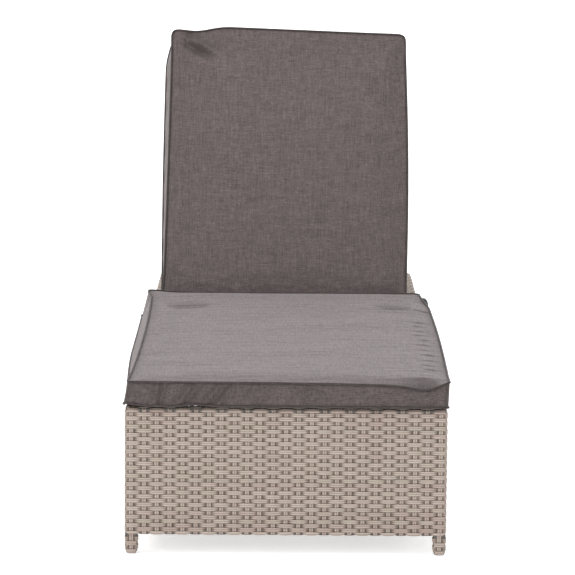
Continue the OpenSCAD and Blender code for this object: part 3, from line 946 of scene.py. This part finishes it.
def capped(start, end, cap):
    """Moves from start towards end, never further than cap."""
    move = end - start
    move -= move.mean(0)
    far = np.linalg.norm(move, axis=1, keepdims=True)
    return start + move * cap * np.tanh(far / cap) / np.maximum(far, 1e-9)


def smooth(edge0, edge1, value):
    t = np.clip((value - edge0) / (edge1 - edge0), 0, 1)
    return t * t * (3 - 2 * t)


def bell(value, centre, width):
    return np.exp(-(((value - centre) / width) ** 2))


def flat_below(cushion, points):
    """The underside lies flat on whatever holds the cushion up."""
    floor = -cushion.size[2] / 2
    points = points.copy()
    points[:, 2] = np.where(points[:, 2] < floor, floor, points[:, 2])
    return points


def tube(name, line, radius, material, sides=10):
    """A closed round cord of fabric along a closed line of points."""
    after = np.roll(line, -1, axis=0)
    before = np.roll(line, 1, axis=0)
    forward = after - before
    forward /= np.linalg.norm(forward, axis=1, keepdims=True)
    up = np.array([0.0, 0.0, 1.0])
    aside = np.cross(forward, up)
    aside /= np.linalg.norm(aside, axis=1, keepdims=True)
    over = np.cross(aside, forward)
    angles = np.arange(sides) / sides * math.tau
    rings = (line[:, None] + radius * (np.cos(angles)[None, :, None] * aside[:, None]
                                       + np.sin(angles)[None, :, None] * over[:, None]))
    return swept(name, rings, material, closed=True)


def softened(line, passes):
    """Draws each point of a closed line towards its neighbours."""
    for _ in range(passes):
        line = (np.roll(line, 1, axis=0) + 2 * line + np.roll(line, -1, axis=0)) / 4
    return line


def closed_smooth(line, step):
    """A closed line made smooth, with its points even steps apart."""
    line = softened(line, 3)
    loop = np.vstack([line, line[:1]])
    run = np.linalg.norm(np.diff(loop, axis=0), axis=1)
    length = np.concatenate([[0], np.cumsum(run)])
    spots = np.linspace(0, length[-1], int(length[-1] / step), endpoint=False)
    line = np.stack([np.interp(spots, length, loop[:, i]) for i in range(3)], -1)
    return softened(line, 2)


def hold_edges(mesh, cushion):
    """Keeps both seams where they are when the mesh is subdivided."""
    on_seam = np.zeros(len(mesh.vertices), bool)
    on_seam[cushion.top_seam] = True
    on_seam[cushion.bottom_seam] = True
    ends = np.empty(2 * len(mesh.edges), np.int32)
    mesh.edges.foreach_get("vertices", ends)
    crease = on_seam[ends.reshape(-1, 2)].all(1).astype(np.float32)
    mesh.attributes.new("crease_edge", "FLOAT", "EDGE").data.foreach_set("value", crease)


def near_line(points, line, reach):
    """1 on the line, fading to 0 at reach from it."""
    nearest = np.full(len(points), reach)
    for start in range(0, len(points), 4000):
        block = points[start:start + 4000]
        gaps = ((block[:, None] - line[None]) ** 2).sum(-1).min(1)
        nearest[start:start + 4000] = np.minimum(np.sqrt(gaps), reach)
    return 1 - nearest / reach


def seam_line(cushion, points, seam, up):
    """Where a seam's piping lies: the seam itself, a little out and a little up or down."""
    line = points[seam]
    out = np.column_stack([line[:, :2] / (np.array(cushion.size[:2]) / 2), np.zeros(len(line))])
    out = np.sign(out) * np.abs(np.clip(out, -1, 1)) ** 31
    out /= np.maximum(np.linalg.norm(out, axis=1, keepdims=True), 1e-6)
    line = line + out * 0.8 * MM
    line[:, 2] += up * 0.6 * MM
    return closed_smooth(line, 4 * MM)


PIPING_R = 2.3 * MM
# the fabric's darkening beside a seam is painted shade
SEAM_SHADE = 5 * MM     # how far the fabric darkens beside a seam


def finish_cushion(cushion, piece, points, place, body, node, shape, detail, piping):
    """Shapes the blown-up cushion, subdivides it, adds folds, painted shade beside the seams and in the
    dimples and creases, and both piped seams.
    """
    points = shape(cushion, points)
    piece.data.vertices.foreach_set("co", points.astype(np.float32).ravel())
    piece.data.update()
    lines = {"top": seam_line(cushion, points, cushion.top_seam, 1),
             "bottom": seam_line(cushion, points, cushion.bottom_seam, -1)}
    hold_edges(piece.data, cushion)
    subdivide = piece.modifiers.new("subdivide", "SUBSURF")
    subdivide.levels = subdivide.render_levels = 1
    graph = bpy.context.evaluated_depsgraph_get()
    dense = bpy.data.meshes.new_from_object(piece.evaluated_get(graph))
    piece.modifiers.clear()
    piece.data = dense
    dense.name = cushion.name
    dense.shade_smooth()
    co = np.empty(len(dense.vertices) * 3)
    normals = np.empty(len(dense.vertices) * 3)
    dense.vertices.foreach_get("co", co)
    dense.vertices.foreach_get("normal", normals)
    co, normals = co.reshape(-1, 3), normals.reshape(-1, 3)
    # painted shade mask, kept in the seam attribute: near either seam, where it also damps the folds, and
    # with the detail's shade in the dimples and creases
    seams = np.maximum(*(near_line(co, line, SEAM_SHADE) for line in lines.values()))
    height, shade = detail(cushion, co, normals)
    co = co + normals * (height * (1 - seams))[:, None]
    seams = np.maximum(seams, shade)
    dense.vertices.foreach_set("co", co.astype(np.float32).ravel())
    dense.attributes.new("seam", "FLOAT", "POINT").data.foreach_set("value", seams.astype(np.float32))
    dense.update()
    piece.matrix_world = place
    attach(piece, body, "cushion_fabric", node)
    for seam_name, line in lines.items():
        cord = tube(f"{cushion.name}_{seam_name}_piping", line, PIPING_R, piping)
        cord.matrix_world = place
        attach(cord, body, "cushion_fabric")


def ribbon(name, line, across, width, thick, material):
    """A flat band along a smooth line through a few points, closed at both ends.
    across gives the direction of its width at the start and at the end."""
    line = np.array(line, float)
    knots = np.arange(len(line))
    spots = np.linspace(0, len(line) - 1, 8 * len(line))
    line = np.stack([np.interp(spots, knots, line[:, i]) for i in range(3)], -1)
    for _ in range(6):
        line[1:-1] = (line[:-2] + 2 * line[1:-1] + line[2:]) / 4
    share = np.linspace(0, 1, len(line))[:, None]
    across = (1 - share) * np.array(across[0], float) + share * np.array(across[1], float)
    across /= np.linalg.norm(across, axis=1, keepdims=True)
    forward = np.gradient(line, axis=0)
    normal = np.cross(forward, across)
    normal /= np.linalg.norm(normal, axis=1, keepdims=True)
    corners = ((-0.5, -0.3), (-0.46, -0.5), (0.46, -0.5), (0.5, -0.3), (0.5, 0.3), (0.46, 0.5),
               (-0.46, 0.5), (-0.5, 0.3))
    rings = np.stack([line + a * width * across + b * thick * normal for a, b in corners], 1)
    return swept(name, rings, material)


def make_strap(side, material):
    """Webbing from the seat cushion's seam, down over the wicker and under the rail."""
    node = f"cushion_strap_{side}"
    low, high = corners_of(node)
    y = (low[1] + high[1]) / 2
    face = max(-low[0], high[0]) - 0.7 * MM
    bottom, top = low[2], high[2]
    # (out from the wicker's face, height) from the cushion to under the rail
    if side == "right":
        sign = 1
        run = [(-14, top + 19 * MM), (-5, top + 18 * MM), (2, top + 9 * MM), (4, top - 4 * MM),
               (2, top - 22 * MM), (1, top - 34 * MM)]
    else:
        sign = -1
        run = [(9, top - 26 * MM), (8, top - 31 * MM), (3, top - 37 * MM), (1, top - 44 * MM)]
    run += [(1, bottom + 14 * MM), (1, bottom + 5 * MM), (-3, bottom)]
    line = [(sign * (face + out * MM), y, z) for out, z in run]
    across = ((sign * 0.7, 0.7, 0), (0, 1, 0))
    strap = ribbon(f"strap_{side}", line, across, high[1] - low[1], 1.4 * MM, material)
    attach(strap, "base", "strap_webbing", node)


def make_ties(material):
    """Two short fabric ties that hang from the seat cushion's right side seam."""
    low, high = corners_of("seat_cushion")
    for number, (back_from_foot, hang) in enumerate(((0.74, 26 * MM), (0.60, 34 * MM))):
        y = low[1] + back_from_foot
        out, top = high[0] + 3 * MM, high[2] - 5 * MM
        line = [(out - 6 * MM, y, top), (out + 5 * MM, y + 3 * MM, top - 3 * MM),
                (out + 9 * MM, y - 3 * MM, top - hang / 2), (out + 6 * MM, y - 8 * MM, top - hang)]
        across = ((0.8, 0.6, 0), (0.9, 0.4, 0.2))
        tie = ribbon(f"cushion_seat_tie_{number}", line, across, 14 * MM, 1.6 * MM, material)
        attach(tie, "base", "cushion_fabric")


def rumple(x, y, waves, shortest, longest):
    """Gentle random waves, about -1 to 1, that lie every way across a panel."""
    random = np.random.default_rng(23)
    total = np.zeros(len(x))
    for _ in range(waves):
        length = random.uniform(shortest, longest)
        angle = random.uniform(0, math.pi)
        start = random.uniform(0, math.tau)
        total += np.sin((x * math.cos(angle) + y * math.sin(angle)) / length * math.tau + start)
    return total / math.sqrt(waves) / 1.4


def seat_shape(cushion, points):
    """The seat cushion as it lies: leaning to the left at the bottom, eared at the rear left."""
    width, length, thick = cushion.size
    x, y, z = points.T.copy()
    s = np.clip(y / length + 0.5, 0, 1)
    up = np.clip(z / thick + 0.5, 0, 1)
    # s goes from 0 at the foot end to 1, and up from 0 at the underside to 1
    left = smooth(0.5, 1, -2 * x / width)
    right = smooth(0.5, 1, 2 * x / width)
    front = smooth(0.035, 0, s)
    top_in = 9 * MM * np.sin(math.pi * s) ** 0.7 - 9 * MM * smooth(0.93, 1, s)
    bottom_out = 7 * MM + 14 * MM * smooth(0, 0.55, s)
    top_right = 8 * MM + 6 * MM * np.sin(math.pi * s) - 13 * MM * smooth(0.82, 0.98, s)
    bottom_right = 6 * MM - 8 * MM * smooth(0, 0.3, s)
    moved_x = x + left * (up * top_in - (1 - up) * bottom_out)
    moved_x = moved_x + right * (up * top_right + (1 - up) * bottom_right)
    ear = up * np.exp(-((x + width / 2) ** 2 + (y - length / 2) ** 2) / (45 * MM) ** 2)
    moved_y = y + 16 * MM * ear - front * (3 * MM + 8 * MM * (1 - up))
    dip_at = 276 * MM
    dip = np.exp(-(np.abs(x - dip_at) / np.where(x < dip_at, 38 * MM, 24 * MM)) ** 1.4)
    crown = (1 - (2 * x / width) ** 4) * (1 - (2 * y / length) ** 10)
    moved_z = z + up * (2.5 * MM * crown + 3 * MM * ear)
    sunk = 13 * MM * dip + 3 * MM * smooth(-0.1, 0.25, x)
    moved_z = moved_z - up * np.clip(1 - s / 0.045, 0, 1) * sunk
    corner = np.exp(-((x - width / 2) ** 2 + (y + length / 2) ** 2) / (22 * MM) ** 2)
    rolled = smooth(0.8, 1, 2 * x / width) * smooth(0, 0.1, s) * smooth(0.97, 0.88, s)
    moved_z = moved_z + up * (7 * MM * corner - 4 * MM * rolled ** 2)
    raised = 6 * MM + 5 * MM * bell(x, -0.18, 22 * MM) + 6 * MM * smooth(-0.27, -0.32, x)
    moved_z = moved_z + (1 - up) * front * raised
    return np.column_stack([moved_x, moved_y, moved_z])


def seat_detail(cushion, points, normals):
    """Folds and dimples: a height off the surface, and how much painted shade each gets."""
    random = np.random.default_rng(5)
    length = cushion.size[1]
    x, y, z = points.T
    on_top = smooth(0.5, 0.85, normals[:, 2])
    on_front = smooth(0.6, 0.9, -normals[:, 1])
    on_left = smooth(0.5, 0.85, -normals[:, 0])
    rear = length / 2
    # the whole top, gently uneven
    height = on_top * 0.8 * MM * rumple(x, y, 16, 0.12, 0.34)
    height += on_top * 0.3 * MM * rumple(0.4 * x, y, 24, 0.02, 0.05)
    shade = np.zeros(len(x))
    # two dimples near the backrest, each with a steep curved lip and painted shade inside: centre and half
    # width
    for centre, wide in ((-0.2275, 0.038), (0.2475, 0.033)):
        edge = rear - 0.262 + 0.35 * (x - centre) ** 2 / wide
        past = np.maximum(y - edge, 0)
        dent = smooth(edge - 5 * MM, edge + 3 * MM, y) * np.exp(-((past / (34 * MM)) ** 1.2))
        across = np.exp(-np.abs((x - centre) / wide) ** 3)
        height -= on_top * 14 * MM * dent * across
        shade += on_top * 0.62 * dent * across
        height += on_top * 2.5 * MM * bell(y, edge - 14 * MM, 10 * MM) * across
    crease = bell(y, rear - 0.255 - 0.25 * (x - 0.25), 8 * MM) * smooth(0.27, 0.3, x)
    height -= on_top * 3 * MM * crease
    # short puckers along the right side
    for number in range(11):
        at = -rear + 0.155 + 0.064 * number + random.uniform(-9, 9) * MM
        middle = 0.294 + random.uniform(-6, 6) * MM
        reach = random.uniform(12, 20) * MM
        depth = random.uniform(1.3, 2.2) * MM
        slant = y - at - 0.12 * (x - middle)
        fold = 0.7 * bell(slant, 11 * MM, 8 * MM) - bell(slant, 0, 6 * MM)
        height += on_top * depth * fold * bell(x, middle, reach)
    # fine creases near both rear corners
    for number in range(9):
        at = rear - 0.012 * number - random.uniform(8, 14) * MM
        side = random.choice((-1, 1))
        reach = random.uniform(35, 80) * MM
        height -= on_top * 0.9 * MM * bell(y, at, 4 * MM) * bell(x, side * 0.26, reach)
    # (x, lean, half width in mm, height) of each slanting pleat in the front band
    for start, slope, wide, tall in ((-0.262, 0.25, 7, 2.2), (-0.205, 0.75, 8, 2.8),
                                     (-0.150, 0.9, 7, 2.6), (-0.123, 0.8, 5, 2.0),
                                     (-0.07, 0.5, 9, 1.3), (0.03, 0.3, 14, 0.9)):
        line = x - start - slope * z
        ridge = bell(line, 0, wide * MM) - 0.8 * bell(line, 1.6 * wide * MM, wide * MM)
        height += on_front * 1.7 * tall * MM * ridge
    # slanting pleats in the left band
    for number in range(12):
        line = y + rear - 0.08 - 0.1 * number - random.uniform(-30, 30) * MM - 0.8 * z
        height += on_left * 0.8 * MM * bell(line, 0, 14 * MM)
    return height, shade


def back_shape(cushion, points):
    """The back cushion: narrower at the top of its face, with an uneven top edge."""
    width, length, thick = cushion.size
    x, y, z = points.T.copy()
    s = np.clip(y / length + 0.5, 0, 1)
    up = np.clip(z / thick + 0.5, 0, 1)
    u = 2 * x / width
    left = smooth(0.5, 1, -u)
    right = smooth(0.5, 1, u)
    top = smooth(0.78, 1, s)
    face_in = 11 * MM * s ** 0.75 - 14 * MM
    rear_out = (17 * MM + 3 * MM * np.sin(math.pi * s)) * smooth(1.02, 0.88, s)
    right_out = 4 * MM + 2 * MM * s + 7 * MM * np.sin(math.pi * s)
    moved_x = x + left * (up * face_in - (1 - up) * rear_out) + right * right_out
    rise = 8 * MM - 11 * MM * u - 12 * MM * smooth(0.53, 0.76, -u) - 3 * MM * bell(u, -0.8, 0.08)
    moved_y = y + top * rise - 9 * MM * (1 - up) * smooth(0.95, 1, s) + 14 * MM * up * smooth(0.08, 0, s)
    crown = (1 - u ** 4) * (1 - (2 * y / length) ** 6)
    over_rails = np.maximum(smooth(0.8, 0.95, np.abs(u)), smooth(62 * MM, 32 * MM, length / 2 - y))
    moved_z = z + up * 2 * MM * crown + (1 - up) * 4.5 * MM * over_rails
    return np.column_stack([moved_x, moved_y, moved_z])


def back_detail(cushion, points, normals):
    """The back cushion's folds, given as seat_detail gives the seat's."""
    x, y, _ = points.T
    on_face = smooth(0.5, 0.85, normals[:, 2])
    on_left = smooth(0.5, 0.85, -normals[:, 0])
    height = on_face * 0.9 * MM * rumple(x, y, 14, 0.12, 0.34)
    height += on_face * 0.3 * MM * rumple(x, y, 24, 0.02, 0.05)
    top = cushion.size[1] / 2
    # the crease in the face's top left corner, along and across its own slant
    slant = -0.55
    crease_x, crease_y = x + 0.222, y - top + 0.05
    along = crease_x * math.cos(slant) + crease_y * math.sin(slant)
    aside = -crease_x * math.sin(slant) + crease_y * math.cos(slant)
    height -= on_face * 10 * MM * bell(aside, 0, 8 * MM) * bell(along, 0, 36 * MM)
    height += on_face * 4 * MM * bell(aside, 17 * MM, 10 * MM) * bell(along, 0, 40 * MM)
    pinch = bell(x, -0.238 + 0.2 * (y - top), 7 * MM) * smooth(top - 0.075, top - 0.02, y)
    height -= on_face * 4 * MM * pinch
    height += on_left * 0.8 * MM * np.sin(y / 0.085 * math.tau + 1.2 * np.sin(y / 0.2 * math.tau))
    # painted shade along the crease in the face's top left corner
    shade = on_face * 0.25 * bell(aside, 0, 8 * MM) * bell(along, 0, 36 * MM)
    return height, shade


def make_cushions(fabric, piping):
    seat_low, seat_high = corners_of("seat_cushion")
    back_low, back_high = local_box("back_cushion")
    corner_r = 10 * MM
    spacing = 10 * MM
    seat = Cushion("cushion_seat", *(seat_high - seat_low), corner_r, spacing)
    back = Cushion("cushion_back", *(back_high - back_low), corner_r, spacing)
    pieces = [seat.object(fabric), back.object(fabric)]
    add_cloth(pieces[0], seat)
    add_cloth(pieces[1], back)
    ends = simulated_points(pieces)
    blown = [capped(seat.points, ends[0], 3.5 * MM), capped(back.points, ends[1], 5 * MM)]
    blown = [flat_below(c, points) for c, points in zip((seat, back), blown)]
    seat_place = Matrix.Translation(Vector((seat_low + seat_high) / 2))
    back_place = BACK @ Matrix.Translation(Vector((back_low + back_high) / 2))
    finish_cushion(seat, pieces[0], blown[0], seat_place, "base", "seat_cushion",
                   seat_shape, seat_detail, piping)
    finish_cushion(back, pieces[1], blown[1], back_place, "backrest", "back_cushion",
                   back_shape, back_detail, piping)


# ---------------------------------------------------------------- the CAD parts that stay

def paint_nodes():
    """Gives every CAD part that still shows the material of its slot."""
    steel = coated_steel_paint()
    by_slot = {
        "frame_steel": steel,
        "zinc_fasteners": plated_steel_paint(),
        "hinge_nylon": moulded_paint("nylon", (0.62, 0.59, 0.52), (0.74, 0.71, 0.64), 0.45),
    }
    for part in frame["record"]["subparts"]:
        material = by_slot.get(part["material_slot"])
        if material:
            mesh = frame["nodes"][part["node"]].data
            mesh.materials.clear()
            mesh.materials.append(material)


def main():
    make_camera()
    make_studio()
    make_floor()
    wicker = wicker_paint()
    plastic = moulded_paint("glide", (0.018, 0.017, 0.016), (0.04, 0.038, 0.036), 0.5)
    for name, wall in WALLS.items():
        weave_wall(name, wall, wicker, 6 if "end" in name else 4)
    for end in ("foot", "head"):
        for side in ("left", "right"):
            weave_leg(end, side, wicker)
            make_glide(end, side, plastic)
    weave_deck(wicker)
    weave_back(wicker)
    fabric = fabric_paint("cushion_fabric", (0.070, 0.0555, 0.054), (0.124, 0.1015, 0.099), 0.26)
    # painted shade: the piping cords, and the ties too, get a darker copy of the cushion fabric with less
    # sheen
    piping = fabric_paint("piping_fabric_shaded", (0.042, 0.034, 0.033), (0.08, 0.065, 0.063), 0.2)
    make_cushions(fabric, piping)
    webbing = webbing_paint()
    for side in ("left", "right"):
        make_strap(side, webbing)
    make_ties(piping)
    paint_nodes()


main()
